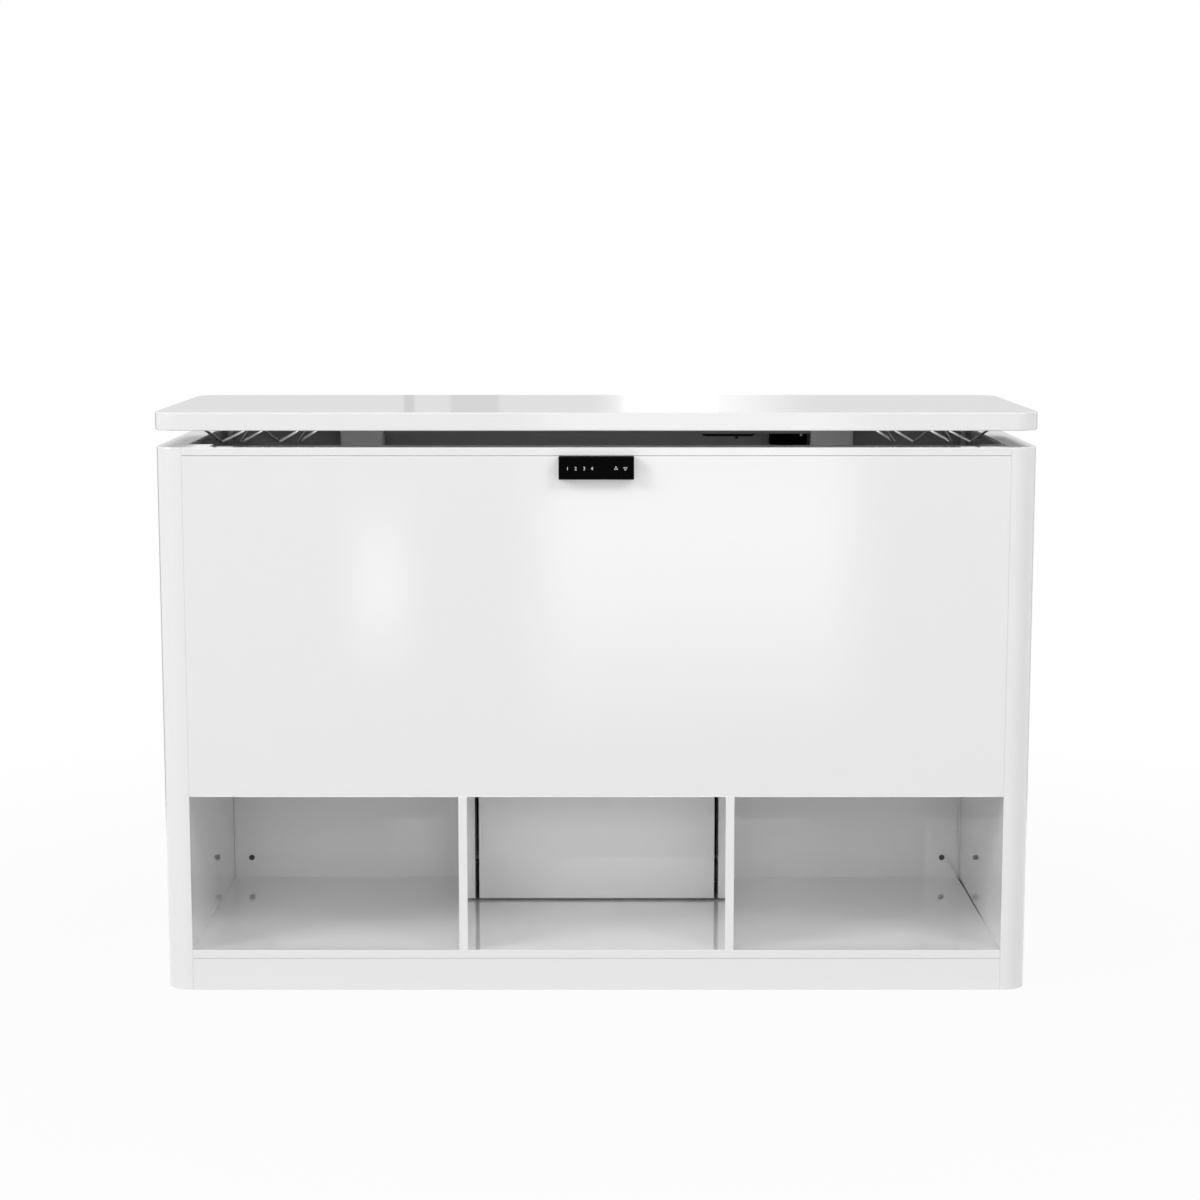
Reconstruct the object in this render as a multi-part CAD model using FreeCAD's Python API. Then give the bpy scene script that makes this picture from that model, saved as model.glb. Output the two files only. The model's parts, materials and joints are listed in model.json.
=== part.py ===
"""Lift bar cabinet: a white gloss cabinet whose top slab rises on two telescopic columns.

Millimetres, +Z up. X is centred on the width, Y on the depth from the handset's face to the
back of the slab, and Z is 0 on the floor. The rest pose has the slab raised a little.
"""
import FreeCAD, Part
import math
import os

V = FreeCAD.Vector

# Overall sizes
SLAB_WIDTH = 1500.0
SLAB_DEPTH = 520.0
SLAB_THICK = 31.0
SLAB_CORNER = 42.0
SLAB_EDGE = 2.5
SLAB_OVERHANG = 1.5
REST_GAP = 28.0
CLOSED_GAP = 1.0

# Cabinet boards
SIDE_THICK = 47.2
SIDE_CORNER = 40.0
FRONT_THICK = 18.0
RAIL_HEIGHT = 14.5
RAIL_GAP = 0.5
ARRIS = 0.9
RIM_EDGE = 2.0
PLINTH_HEIGHT = 56.0
PLINTH_THICK = 18.0
PLINTH_GAP = 0.5
BOARD_THICK = 15.0
COMPARTMENT_HEIGHT = 271.5
CHAMBER_FLOOR_THICK = 25.0
BACK_THICK = 6.0
BACK_INSET = 2.0
BACK_LINING_THICK = 3.0
LINING_GAP_LEFT = 0.6
LINING_GAP_RIGHT = 4.0
FLOOR_TAPER = 3.0
FLOOR_TAPER_START = 100.0
CENTRE_BAY_WIDTH = 446.0
SERVICE_BAY_DEPTH = 160.0
SERVICE_PANEL_GAP = 3.5
CLEAT = 20.0
CLEAT_HEIGHT = 40.0
CLEAT_INSET = 30.0
POST_WIDTH = 44.8
POST_DEPTH = 50.0
STRETCHER_THICK = 18.0
STRETCHER_DROP = 1.5
CHAMBER_LINING_THICK = 3.0
LINING_TOP_DROP = 2.0

# Handset on the front
HANDSET_WIDTH = 127.0
HANDSET_HEIGHT = 38.5
HANDSET_PROUD = 18.0
HANDSET_CORNER = 1.2
HANDSET_EDGE = 0.6
WINDOW_MARGIN = 2.5
WINDOW_THICK = 1.6
WINDOW_RECESS = 0.3
WINDOW_GAP = 0.15

# Telescopic columns
COLUMN_WIDTH = 80.0
COLUMN_DEPTH = 50.0
COLUMN_BACK_GAP = 15.5
TUBE_WALL = 2.0
TUBE_GAP = 1.0
TUBE_CORNER = 6.0
TUBE_CORNER_STEP = 1.0
OUTER_TUBE_LENGTH = 551.0
OUTER_FOOT_GAP = 16.5
MIDDLE_FOOT_GAP = 6.0
MIDDLE_HEAD_GAP = 13.5
INNER_HEAD_GAP = 6.0
GLIDE_CLEAR = 0.2
GLIDE_HEIGHT = 40.0
GLIDE_SHARE = 0.4
MOTOR_DIAMETER = 40.0
MOTOR_LENGTH = 118.0
MOTOR_CAP = 4.0
MOTOR_EDGE = 2.0
MOTOR_MOUNT_THICK = 5.0
SPINDLE_DIAMETER = 14.0
SPINDLE_FOOT_GAP = 30.5
SPINDLE_CLEAR = 1.5
SPINDLE_JOURNAL = 10.0
JOURNAL_LENGTH = 15.0
SCREW_WALL = 3.5
SCREW_FOOT_GAP = 20.0
CARRIER_HEIGHT = 26.0
CARRIER_SEAT = 14.0
BASE_NUT_HEIGHT = 25.0
RUNNING_FIT = 0.05
FOOT_PLATE_LENGTH = 150.0
FOOT_PLATE_DEPTH = 96.0
FOOT_PLATE_THICK = 6.0
FOOT_PLATE_CORNER = 8.0

# Frame under the slab
HEAD_PLATE_LENGTH = 260.0
HEAD_PLATE_THICK = 5.0
HEAD_PLATE_BEHIND = 3.0
BEAM_DEPTH = 30.0
BEAM_HEIGHT = 36.0
BEAM_WALL = 2.0
BATTEN = 18.0
BATTEN_END_GAP = 12.0
LIFT_BACK_THICK = 12.0
LIFT_BACK_GAP = 13.0
LIFT_END_GAP = 13.3
DECK_THICK = 15.0
DECK_FRONT_GAP = 10.0
DECK_HOLE_GAP = 1.0
BRACKET_WIDTH = 60.0
BRACKET_FRONT_GAP = 40.5
BRACKET_FOOT_GAP = 10.0
BRACKET_PLATE = 5.0
BRACKET_ROOT = 70.0
BRACKET_TIP = 14.0

# Control box and motor cable
CONTROL_WIDTH = 67.0
CONTROL_HEIGHT = 21.0
CONTROL_BACK_GAP = 3.5
CONTROL_CORNER = 3.0
CONTROL_BRACKET_THICK = 5.0
CONTROL_BRACKET_HEIGHT = 26.0
CABLE_DIAMETER = 5.0
CABLE_HOLE_GAP = 1.0
CABLE_BEND = 12.0
CABLE_STRAIGHT = 0.4
CABLE_LOOP_LENGTH = 101.0
CABLE_LOOP_FROM_COLUMN = 100.0
CABLE_SLACK_DROP = 1.2

# Wire stemware racks
WIRE = 4.5
WIRE_BEND = 6.5
RACK_SIDE_GAP = 11.3
RACK_COLUMN_GAP = 11.0
LANE_PITCH = 100.0
LANE_WIDTH = 34.0
RAIL_DROP = 30.0
RACK_FRONT_GAP = 25.5
RACK_LEAN = 55.0
RACK_BACK_GAP = 65.5
ARM_SPREAD = 22.0
STRIP_WIDTH = 20.0
STRIP_THICK = 2.0

# Power supply and inlet in the service bay
SUPPLY_WIDTH = 160.0
SUPPLY_DEPTH = 66.0
SUPPLY_HEIGHT = 42.0
SUPPLY_CORNER = 6.0
INLET_WIDTH = 48.0
INLET_HEIGHT = 28.0
INLET_DEPTH = 24.0
INLET_FLANGE = 4.0
INLET_FLANGE_THICK = 2.0
INLET_ABOVE_FLOOR = 84.0
INLET_POCKET_DEPTH = 16.0
INLET_POCKET_WALL = 6.0
INLET_POCKET_RIM = 3.0
INLET_PIN_WIDTH = 2.0
INLET_PIN_HEIGHT = 4.0
INLET_PIN_PITCH = 10.0
INLET_PIN_RECESS = 6.0
INLET_FIT = 0.2

# Fasteners
SCREW_HEAD = 10.6
SCREW_HEAD_THICK = 2.2
SCREW_HEAD_CHAMFER = 0.7
CROSS_LENGTH = 5.0
CROSS_WIDTH = 1.1
CROSS_DEPTH = 1.3
SCREW_SHANK = 4.0
SCREW_FIT = 0.1
LINING_SCREW_FROM_SIDE = 33.3
LINING_SCREW_ABOVE_FLOOR = 39.5
PLATE_SCREW_LENGTH = 22.0
PLATE_SCREW_INSET = 16.0
BOLT_LENGTH = 20.0
BOLT_INSET = 14.0
BACK_SCREW_LENGTH = 25.0
BACK_SCREW_COUNT = 5
BACK_SCREW_END = 60.0

# Places worked out from the sizes above
HANDSET_BEYOND_SLAB = HANDSET_PROUD - SLAB_OVERHANG
SLAB_FRONT = HANDSET_BEYOND_SLAB - (SLAB_DEPTH + HANDSET_BEYOND_SLAB) / 2
SLAB_BACK = SLAB_FRONT + SLAB_DEPTH
BODY_FRONT = SLAB_FRONT + SLAB_OVERHANG
BODY_BACK = SLAB_BACK - SLAB_OVERHANG
HALF_BODY = SLAB_WIDTH / 2 - SLAB_OVERHANG
INNER_X = HALF_BODY - SIDE_THICK
FRONT_INSIDE = BODY_FRONT + FRONT_THICK
BACK_FACE = BODY_BACK - BACK_INSET
BACK_INSIDE = BACK_FACE - BACK_THICK
FLOOR_TOP = PLINTH_HEIGHT + BOARD_THICK
BOTTOM_BOARD_MIDDLE = PLINTH_HEIGHT + BOARD_THICK / 2
CEILING = FLOOR_TOP + COMPARTMENT_HEIGHT
CHAMBER_FLOOR_TOP = CEILING + CHAMBER_FLOOR_THICK
CHAMBER_FLOOR_MIDDLE = CEILING + CHAMBER_FLOOR_THICK / 2
FOOT_TOP = CHAMBER_FLOOR_TOP + FOOT_PLATE_THICK
RIM_HEIGHT = FOOT_TOP + OUTER_FOOT_GAP + OUTER_TUBE_LENGTH + HEAD_PLATE_THICK - CLOSED_GAP
RAIL_BOTTOM = RIM_HEIGHT - RAIL_HEIGHT
HANDSET_FACE = BODY_FRONT - HANDSET_PROUD
HANDSET_BOTTOM = RAIL_BOTTOM - HANDSET_HEIGHT
DIVIDER_INNER = CENTRE_BAY_WIDTH / 2
DIVIDER_OUTER = DIVIDER_INNER + BOARD_THICK
LINING_FRONT = BACK_INSIDE - BACK_LINING_THICK
SERVICE_BACK = BACK_INSIDE - SERVICE_BAY_DEPTH
SERVICE_FRONT = SERVICE_BACK - BOARD_THICK
POST_BACK = FRONT_INSIDE + POST_DEPTH
SLAB_BOTTOM = RIM_HEIGHT + REST_GAP
REST_RISE = REST_GAP - CLOSED_GAP
HEAD_BOTTOM = SLAB_BOTTOM - HEAD_PLATE_THICK
LIFT_BACK_REAR = BACK_INSIDE - LIFT_BACK_GAP
LIFT_BACK_FRONT = LIFT_BACK_REAR - LIFT_BACK_THICK
LIFT_HALF = INNER_X - CHAMBER_LINING_THICK - LIFT_END_GAP
COLUMN_Y = LIFT_BACK_FRONT - COLUMN_BACK_GAP - COLUMN_DEPTH / 2
RACK_OFFSET = INNER_X - CHAMBER_LINING_THICK - RACK_SIDE_GAP - LANE_PITCH
COLUMN_OFFSET = RACK_OFFSET - LANE_PITCH - RACK_COLUMN_GAP - COLUMN_WIDTH / 2
OUTER_BOTTOM = HEAD_BOTTOM - OUTER_TUBE_LENGTH
MIDDLE_BOTTOM = FOOT_TOP + MIDDLE_FOOT_GAP + REST_RISE / 2
STAGE_STEP = TUBE_WALL + TUBE_GAP
GLIDE_THICK = TUBE_GAP - GLIDE_CLEAR
MOTOR_TOP = HEAD_BOTTOM - MOTOR_CAP
MOTOR_BOTTOM = MOTOR_TOP - MOTOR_LENGTH
MIDDLE_TOP = MOTOR_BOTTOM - MIDDLE_HEAD_GAP - REST_RISE / 2
SPINDLE_BOTTOM = FOOT_TOP + SPINDLE_FOOT_GAP + REST_RISE
SCREW_BORE = SPINDLE_DIAMETER + 2 * SPINDLE_CLEAR
SCREW_DIAMETER = SCREW_BORE + 2 * SCREW_WALL
SCREW_BOTTOM = FOOT_TOP + SCREW_FOOT_GAP + REST_RISE / 2
CARRIER_BOTTOM = MIDDLE_TOP - CARRIER_HEIGHT
INNER_TOP = CARRIER_BOTTOM - REST_RISE / 2 - INNER_HEAD_GAP
BEAM_FRONT = COLUMN_Y - BEAM_DEPTH / 2
BEAM_BOTTOM = SLAB_BOTTOM - BEAM_HEIGHT
BEAM_HALF = COLUMN_OFFSET - COLUMN_WIDTH / 2
DECK_BOTTOM = OUTER_BOTTOM + BRACKET_FOOT_GAP + BRACKET_ROOT + BRACKET_PLATE
DECK_TOP = DECK_BOTTOM + DECK_THICK
DECK_FRONT = POST_BACK + DECK_FRONT_GAP
HEAD_PLATE_BACK = COLUMN_Y + COLUMN_DEPTH / 2 + HEAD_PLATE_BEHIND
HEAD_PLATE_FRONT = HEAD_PLATE_BACK - HEAD_PLATE_LENGTH
RACK_APEX_Y = POST_BACK + RACK_FRONT_GAP
RAIL_FRONT_Y = RACK_APEX_Y + RACK_LEAN
RAIL_BACK_Y = LIFT_BACK_FRONT - RACK_BACK_GAP
RACK_RAIL_Z = SLAB_BOTTOM - RAIL_DROP
STRIP_BOTTOM = SLAB_BOTTOM - STRIP_THICK
RACK_APEX_Z = STRIP_BOTTOM - WIRE / 2
INLET_Z = FLOOR_TOP + INLET_ABOVE_FLOOR
CABLE_LOOP_RIGHT = BEAM_HALF - CABLE_LOOP_FROM_COLUMN
CABLE_LOOP_LEFT = CABLE_LOOP_RIGHT - CABLE_LOOP_LENGTH
SIDES = {"left": -1, "right": 1}


def block(x0, x1, y0, y1, z0, z1):
    """A plain board between two corners, given in any order."""
    low = V(min(x0, x1), min(y0, y1), min(z0, z1))
    return Part.makeBox(abs(x1 - x0), abs(y1 - y0), abs(z1 - z0), low)


def edges_where(shape, test):
    """The edges of a shape whose middle point passes the test."""
    return [e for e in shape.Edges if test(e.CenterOfMass)]


def near(a, b):
    return abs(a - b) < 1e-6


def ease_front(board, y):
    """Round the arrises that border a board's front face."""
    return board.makeFillet(ARRIS, edges_where(board, lambda c: near(c.y, y)))


def rounded_rectangle(width, depth, corner, z):
    """A closed outline with arcs at its corners, centred on the Z axis."""
    hx, hy = width / 2, depth / 2
    corners = [V(-hx, -hy, z), V(hx, -hy, z), V(hx, hy, z), V(-hx, hy, z)]
    outline = Part.makePolygon(corners + corners[:1])
    slab = Part.Face(outline).extrude(V(0, 0, 1))
    uprights = edges_where(slab, lambda c: near(abs(c.x), hx) and near(abs(c.y), hy))
    rounded = slab.makeFillet(corner, uprights)
    return [f for f in rounded.Faces if near(f.CenterOfMass.z, z)][0].OuterWire


def bar(width, depth, corner, z0, z1):
    """A solid bar with a rounded rectangular section, standing on the Z axis."""
    return Part.Face(rounded_rectangle(width, depth, corner, z0)).extrude(V(0, 0, z1 - z0))


def rod(diameter, x, y, z0, z1):
    """An upright cylinder."""
    return Part.makeCylinder(diameter / 2, z1 - z0, V(x, y, z0))


def drive_cross(top, direction):
    """The cross recess that is sunk from the top of a screw head along the screw's direction."""
    turn = FreeCAD.Rotation(V(0, 0, 1), direction)
    arms = []
    for length, width in ((CROSS_LENGTH, CROSS_WIDTH), (CROSS_WIDTH, CROSS_LENGTH)):
        arm = block(-length / 2, length / 2, -width / 2, width / 2, 0, CROSS_DEPTH)
        arm.Placement = FreeCAD.Placement(top, turn).multiply(arm.Placement)
        arms.append(arm)
    return arms[0].fuse(arms[1])


def fastener(place, direction, length, fit=0.0):
    """A pan-head screw whose head sits on the place and whose shank runs along the direction."""
    shank = Part.makeCylinder(SCREW_SHANK / 2 + fit, length, place, direction)
    if fit:
        return shank
    head = Part.makeCylinder(SCREW_HEAD / 2, SCREW_HEAD_THICK, place, direction * -1)
    rim = edges_where(head, lambda c: (c - place).dot(direction) < -SCREW_HEAD_THICK / 2)
    screw = shank.fuse(head.makeChamfer(SCREW_HEAD_CHAMFER, rim[:1])).removeSplitter()
    return screw.cut(drive_cross(place - direction * SCREW_HEAD_THICK, direction))


def drill(board, places, direction, length):
    """Cut clearance holes for fasteners through a board."""
    for place in places:
        board = board.cut(fastener(place, direction, length, SCREW_FIT))
    return board


def bent_rod(points, bend, diameter):
    """A round wire along straight runs joined by tangent arcs."""
    edges = []
    start = points[0]
    for corner, after in zip(points[1:-1], points[2:]):
        back = (start - corner).normalize()
        ahead = (after - corner).normalize()
        half = back.getAngle(ahead) / 2
        reach = bend / math.tan(half)
        leave, meet = corner + back * reach, corner + ahead * reach
        inward = (back + ahead).normalize()
        middle = corner + inward * (bend / math.sin(half) - bend)
        edges.append(Part.LineSegment(start, leave).toShape())
        edges.append(Part.Arc(leave, middle, meet).toShape())
        start = meet
    edges.append(Part.LineSegment(start, points[-1]).toShape())
    section = Part.Wire(Part.makeCircle(diameter / 2, points[0], points[1] - points[0]))
    return Part.Wire(edges).makePipeShell([section], True, False)


def side_panel(side):
    """Upright side with quarter-round outer corners and an eased top rim."""
    sign = SIDES[side]
    panel = block(sign * INNER_X, sign * HALF_BODY, BODY_FRONT, BODY_BACK, 0, RIM_HEIGHT)
    outer = edges_where(panel, lambda c: near(c.z, RIM_HEIGHT / 2) and near(abs(c.x), HALF_BODY))
    panel = panel.makeFillet(min(SIDE_CORNER, SIDE_THICK - 2 * RIM_EDGE), outer)
    rim = edges_where(panel, lambda c: near(c.z, RIM_HEIGHT) and abs(c.x) > INNER_X + RIM_EDGE)
    return panel.makeFillet(RIM_EDGE, rim)


def front_board(thick, z0, z1):
    """A board across the front between the sides, with its front arrises eased."""
    board = block(-INNER_X, INNER_X, BODY_FRONT, BODY_FRONT + thick, z0, z1)
    return ease_front(board, BODY_FRONT)


def front_panel():
    return front_board(FRONT_THICK, CEILING, RAIL_BOTTOM)


def front_top_rail():
    """The strip along the top of the front, rounded above and kept off the panel by a shadow gap."""
    rail = block(-INNER_X, INNER_X, BODY_FRONT, FRONT_INSIDE, RAIL_BOTTOM + RAIL_GAP, RIM_HEIGHT)
    rim = edges_where(rail, lambda c: near(c.y, BODY_FRONT) and near(c.z, RIM_HEIGHT))
    rail = rail.makeFillet(RIM_EDGE, rim)
    below = edges_where(rail, lambda c: near(c.y, BODY_FRONT) and c.z < RIM_HEIGHT - 2 * RIM_EDGE)
    return rail.makeFillet(ARRIS, below)


def corner_posts():
    """White posts that tie the front to the sides, as a pair of solids."""
    inner = INNER_X - POST_WIDTH
    return [block(s * inner, s * INNER_X, FRONT_INSIDE, POST_BACK, CHAMBER_FLOOR_TOP, RIM_HEIGHT)
            for s in SIDES.values()]


def front_stretcher():
    half = INNER_X - POST_WIDTH
    top = RIM_HEIGHT - STRETCHER_DROP
    return block(-half, half, FRONT_INSIDE, POST_BACK, top - STRETCHER_THICK, top)


def foot_bolt_places():
    dx, dy = FOOT_PLATE_LENGTH / 2 - BOLT_INSET, FOOT_PLATE_DEPTH / 2 - BOLT_INSET
    return [V(s * COLUMN_OFFSET + i * dx, COLUMN_Y + j * dy, FOOT_TOP)
            for s in SIDES.values() for i in (-1, 1) for j in (-1, 1)]


def back_screw_places(z):
    run = 2 * (INNER_X - BACK_SCREW_END)
    return [V(-run / 2 + run * i / (BACK_SCREW_COUNT - 1), BACK_FACE, z) for i in range(BACK_SCREW_COUNT)]


def all_back_screw_places():
    return back_screw_places(BOTTOM_BOARD_MIDDLE) + back_screw_places(CHAMBER_FLOOR_MIDDLE)


def chamber_floor():
    board = block(-INNER_X, INNER_X, FRONT_INSIDE, BACK_INSIDE, CEILING, CHAMBER_FLOOR_TOP)
    board = drill(board, foot_bolt_places(), V(0, 0, -1), BOLT_LENGTH)
    return drill(board, back_screw_places(CHAMBER_FLOOR_MIDDLE), V(0, -1, 0), BACK_SCREW_LENGTH)


def floor_wedge():
    """What the bottom board lacks along its right end, where it was cut a little out of square."""
    start = V(INNER_X, BODY_FRONT + FLOOR_TAPER_START, PLINTH_HEIGHT)
    back = V(INNER_X, BACK_INSIDE, PLINTH_HEIGHT)
    outline = Part.makePolygon([start, back, back - V(FLOOR_TAPER, 0, 0), start])
    return Part.Face(outline).extrude(V(0, 0, BOARD_THICK))


def bottom_board():
    board = block(-INNER_X, INNER_X, BODY_FRONT, BACK_INSIDE, PLINTH_HEIGHT, FLOOR_TOP)
    board = ease_front(board, BODY_FRONT).cut(floor_wedge())
    return drill(board, back_screw_places(BOTTOM_BOARD_MIDDLE), V(0, -1, 0), BACK_SCREW_LENGTH)


def front_plinth():
    return front_board(PLINTH_THICK, 0, PLINTH_HEIGHT - PLINTH_GAP)


def rear_plinth():
    return block(-INNER_X, INNER_X, BACK_INSIDE - PLINTH_THICK, BACK_INSIDE, 0, PLINTH_HEIGHT)


def divider(side):
    sign = SIDES[side]
    board = block(sign * DIVIDER_INNER, sign * DIVIDER_OUTER, BODY_FRONT, BACK_INSIDE, FLOOR_TOP, CEILING)
    uprights = edges_where(board, lambda c: near(c.y, BODY_FRONT) and near(c.z, (FLOOR_TOP + CEILING) / 2))
    return board.makeFillet(ARRIS, uprights)


def inlet_block(half_x, half_z, y0, y1, x=0.0):
    """A block centred on the height of the power inlet."""
    return block(x - half_x, x + half_x, y0, y1, INLET_Z - half_z, INLET_Z + half_z)


def inlet_cutout(margin):
    return inlet_block(INLET_WIDTH / 2 + margin, INLET_HEIGHT / 2 + margin, BACK_INSIDE, BACK_FACE)


def back_board():
    board = block(-INNER_X, INNER_X, BACK_INSIDE, BACK_FACE, 0, RIM_HEIGHT)
    board = drill(board, all_back_screw_places(), V(0, -1, 0), BACK_SCREW_LENGTH)
    board = drill(board, lining_screw_places(), V(0, 1, 0), BACK_LINING_THICK + BACK_THICK / 2)
    return board.cut(inlet_cutout(INLET_FIT))


def chamber_lining(side):
    sign = SIDES[side]
    return block(sign * (INNER_X - CHAMBER_LINING_THICK), sign * INNER_X, POST_BACK, BACK_INSIDE,
                 CHAMBER_FLOOR_TOP, RIM_HEIGHT - LINING_TOP_DROP)


def lining_screw_places():
    x = INNER_X - LINING_SCREW_FROM_SIDE
    return [V(s * x, LINING_FRONT, FLOOR_TOP + LINING_SCREW_ABOVE_FLOOR) for s in SIDES.values()]


def compartment_back(side):
    sign = SIDES[side]
    outer = INNER_X - (LINING_GAP_LEFT if side == "left" else LINING_GAP_RIGHT)
    board = block(sign * DIVIDER_OUTER, sign * outer, LINING_FRONT, BACK_INSIDE, FLOOR_TOP, CEILING)
    return drill(board, lining_screw_places(), V(0, 1, 0), BACK_LINING_THICK)


def service_panel():
    half = DIVIDER_INNER - SERVICE_PANEL_GAP
    panel = block(-half, half, SERVICE_FRONT, SERVICE_BACK, FLOOR_TOP + SERVICE_PANEL_GAP, CEILING)
    return ease_front(panel, SERVICE_FRONT)


def service_panel_cleats():
    """Blocks on the dividers that the loose panel stands against."""
    inner, back = DIVIDER_INNER - CLEAT, SERVICE_BACK + CLEAT
    heights = (FLOOR_TOP + CLEAT_INSET, CEILING - CLEAT_INSET - CLEAT_HEIGHT)
    return [block(s * inner, s * DIVIDER_INNER, SERVICE_BACK, back, z, z + CLEAT_HEIGHT)
            for s in SIDES.values() for z in heights]


def power_supply():
    case = bar(SUPPLY_WIDTH, SUPPLY_DEPTH, SUPPLY_CORNER, FLOOR_TOP, FLOOR_TOP + SUPPLY_HEIGHT)
    return case.translated(V(0, (SERVICE_BACK + BACK_INSIDE) / 2, 0))


def power_inlet():
    """Socket in the back board: a flanged body, an open pocket and its three blades."""
    half_x, half_z = INLET_WIDTH / 2, INLET_HEIGHT / 2
    face = BACK_FACE + INLET_FLANGE_THICK
    floor = face - INLET_POCKET_DEPTH
    body = inlet_block(half_x, half_z, BACK_FACE - INLET_DEPTH, BACK_FACE)
    flange = inlet_block(half_x + INLET_FLANGE, half_z + INLET_FLANGE, BACK_FACE, face)
    pocket = inlet_block(half_x - INLET_POCKET_WALL, half_z - INLET_POCKET_RIM, floor, face)
    socket = body.fuse(flange).cut(pocket).removeSplitter()
    for i in (-1, 0, 1):
        blade = inlet_block(INLET_PIN_WIDTH / 2, INLET_PIN_HEIGHT / 2, floor, face - INLET_PIN_RECESS,
                            i * INLET_PIN_PITCH)
        socket = socket.fuse(blade)
    return socket.removeSplitter()


def handset_blank():
    """Outer form of the handset, before its window is let in."""
    half = HANDSET_WIDTH / 2
    blank = block(-half, half, HANDSET_FACE, BODY_FRONT, HANDSET_BOTTOM, RAIL_BOTTOM)
    middle = (HANDSET_FACE + BODY_FRONT) / 2
    blank = blank.makeFillet(HANDSET_CORNER, edges_where(blank, lambda c: near(c.y, middle)))
    return blank.makeFillet(HANDSET_EDGE, edges_where(blank, lambda c: near(c.y, HANDSET_FACE)))


def window_plate(margin, front):
    half = HANDSET_WIDTH / 2 - margin
    back = HANDSET_FACE + WINDOW_RECESS + WINDOW_THICK
    return block(-half, half, front, back, HANDSET_BOTTOM + margin, RAIL_BOTTOM - margin)


def handset_housing():
    return handset_blank().cut(window_plate(WINDOW_MARGIN, HANDSET_FACE))


def handset_window():
    return window_plate(WINDOW_MARGIN + WINDOW_GAP, HANDSET_FACE + WINDOW_RECESS)


def tube_section(stage):
    """Outside width, depth and corner of a column tube: stage 0 is the outer one, 2 the inner one."""
    step = 2 * stage * STAGE_STEP
    return COLUMN_WIDTH - step, COLUMN_DEPTH - step, TUBE_CORNER - stage * TUBE_CORNER_STEP


def tube(stage, z0, z1):
    """A column tube centred on the Z axis."""
    width, depth, corner = tube_section(stage)
    outside = bar(width, depth, corner, z0, z1)
    bore = bar(width - 2 * TUBE_WALL, depth - 2 * TUBE_WALL, corner - TUBE_WALL, z0, z1)
    return outside.cut(bore)


def at_column(shape, side):
    return shape.translated(V(SIDES[side] * COLUMN_OFFSET, COLUMN_Y, 0))


def plug_in_tube(stage, z0, z1):
    """A block that fills the bore of a column tube, a small fit away from its walls."""
    width, depth, corner = tube_section(stage)
    less = 2 * (TUBE_WALL + RUNNING_FIT)
    return bar(width - less, depth - less, corner - TUBE_WALL, z0, z1)


def glides(stage, top):
    """Four thin plastic pads on the outside of a tube's upper end."""
    width, depth, _ = tube_section(stage)
    half_x, half_y = width / 2, depth / 2
    span_x, span_y = half_x * GLIDE_SHARE, half_y * GLIDE_SHARE
    low = top - GLIDE_HEIGHT
    pads = []
    for sign in (-1, 1):
        wide = block(-span_x, span_x, sign * half_y, sign * (half_y + GLIDE_THICK), low, top)
        narrow = block(sign * half_x, sign * (half_x + GLIDE_THICK), -span_y, span_y, low, top)
        pads += [wide, narrow]
    return pads


def cable_heights():
    """Cable centre inside the beam and in its visible loop below the beam."""
    return BEAM_BOTTOM + BEAM_HEIGHT / 2, BEAM_BOTTOM - CABLE_DIAMETER / 2 - CABLE_SLACK_DROP


def cable_points():
    """Left motor, along the hollow beam, out below it for a stretch, then into the control box."""
    inside, below = cable_heights()
    box_x = BEAM_HALF - CONTROL_BRACKET_THICK - CONTROL_WIDTH / 2
    motor_x = -COLUMN_OFFSET + MOTOR_DIAMETER / 2 + RUNNING_FIT
    left, right = CABLE_LOOP_LEFT, CABLE_LOOP_RIGHT
    run = [(motor_x, inside), (left, inside), (left, below), (right, below), (right, inside),
           (box_x, inside), (box_x, BEAM_BOTTOM)]
    return [V(x, COLUMN_Y, z) for x, z in run]


def cable_bend():
    """The largest bend that the drop below the beam leaves room for."""
    inside, below = cable_heights()
    return min(CABLE_BEND, (inside - below - CABLE_STRAIGHT) / 2)


def motor_cable():
    return bent_rod(cable_points(), cable_bend(), CABLE_DIAMETER)


def cable_slots():
    """Slots in the beam's lower wall and the column's side where the cable passes."""
    points = cable_points()
    half = CABLE_DIAMETER / 2 + CABLE_HOLE_GAP
    reach = cable_bend() + half
    z0, z1 = BEAM_BOTTOM, BEAM_BOTTOM + BEAM_WALL
    slots = [block(x - reach, x + reach, COLUMN_Y - half, COLUMN_Y + half, z0, z1)
             for x in (CABLE_LOOP_LEFT, CABLE_LOOP_RIGHT)]
    return slots + [rod(2 * half, points[-1].x, COLUMN_Y, z0, z1)]


def outer_tube(side):
    shape = at_column(tube(0, OUTER_BOTTOM, HEAD_BOTTOM), side)
    if side == "left":
        hole = Part.makeCylinder(CABLE_DIAMETER / 2 + CABLE_HOLE_GAP, COLUMN_WIDTH / 2,
                                 V(-COLUMN_OFFSET, COLUMN_Y, cable_heights()[0]), V(1, 0, 0))
        shape = shape.cut(hole)
    return shape


def middle_tube(side):
    return at_column(tube(1, MIDDLE_BOTTOM, MIDDLE_TOP), side)


def inner_tube(side):
    return at_column(tube(2, FOOT_TOP, INNER_TOP), side)


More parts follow.
